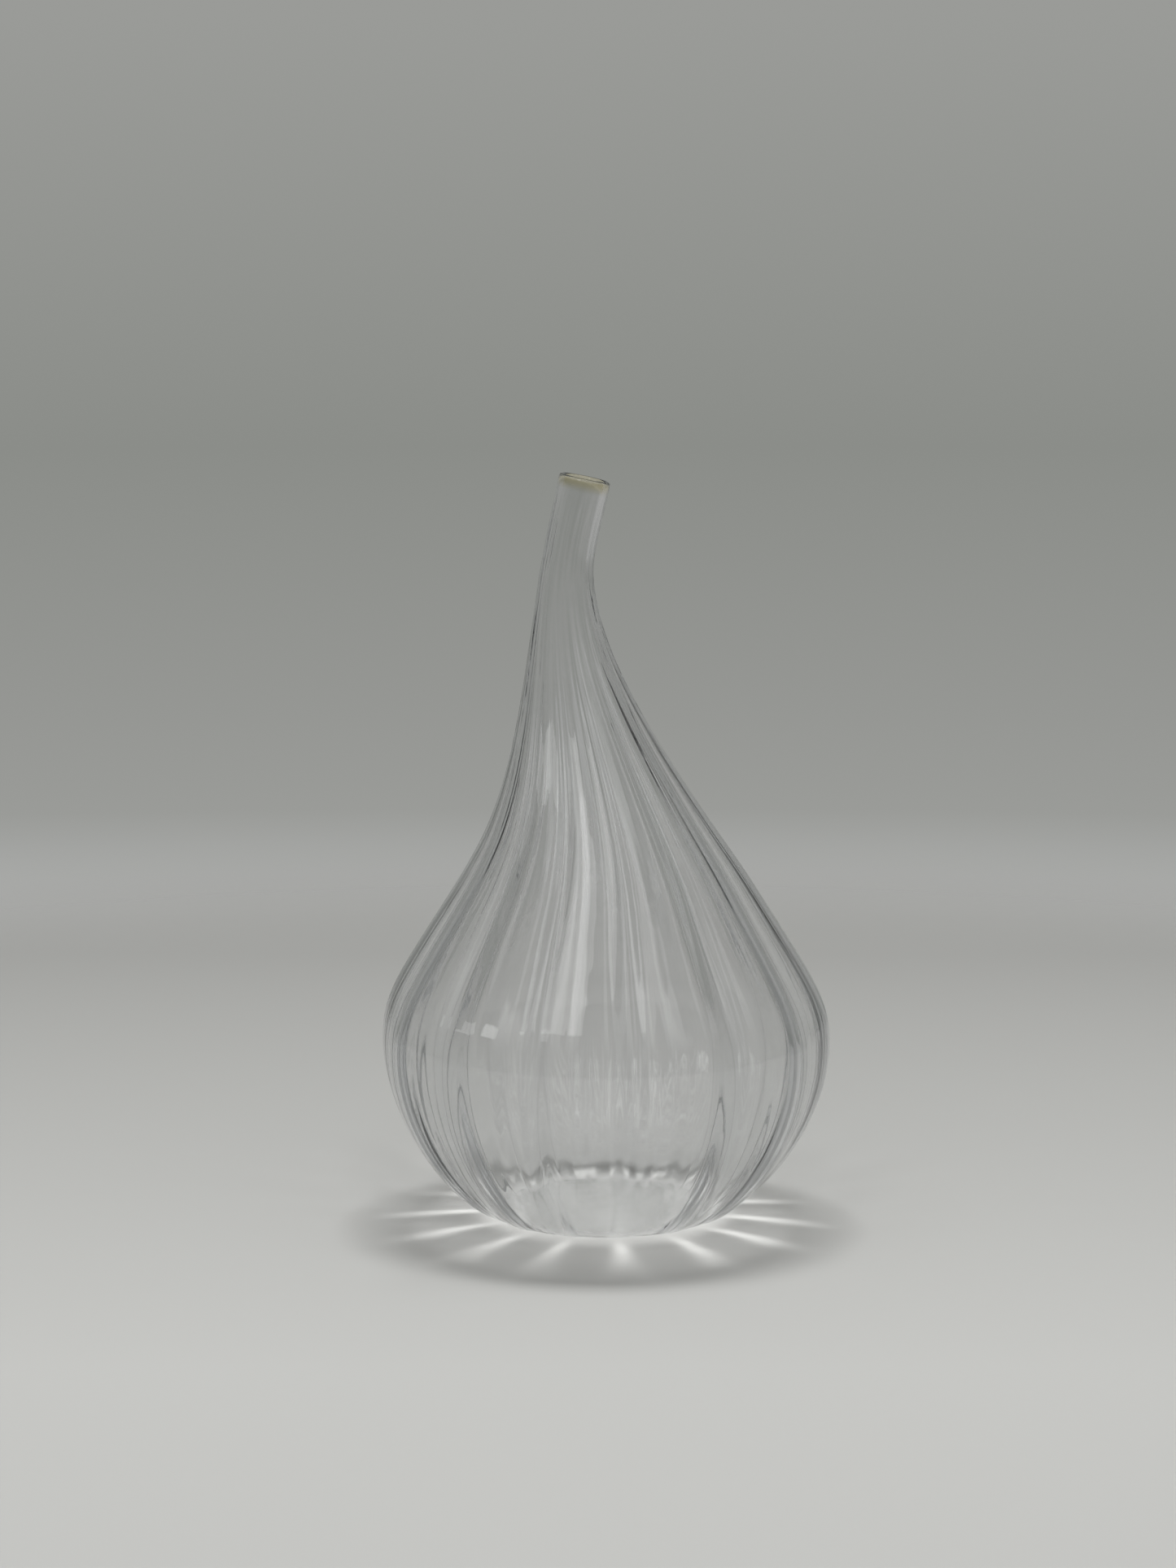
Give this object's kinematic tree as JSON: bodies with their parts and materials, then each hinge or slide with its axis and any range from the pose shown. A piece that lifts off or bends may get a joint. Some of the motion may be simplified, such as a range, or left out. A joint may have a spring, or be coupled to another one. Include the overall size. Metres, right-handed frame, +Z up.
{
  "type": "bud vase",
  "caption": "Drop-shaped clear glass bud vase with soft upright ribs and a thin neck that bends aside to a small round mouth; it holds one stem in water.",
  "frame": {"origin": "centre of the flat foot, on the surface that the vase stands on", "axes": "+Z up along the bulb's axis; the neck swings towards -X and its mouth leans back towards +X; -Y is the front"},
  "size_m": [0.1312, 0.1312, 0.2182],
  "materials": {
    "clear_glass": "clear colourless blown glass, fire-polished"
  },
  "bodies": {
    "root": {"glass_vase": "clear_glass"}
  },
  "joints": []
}
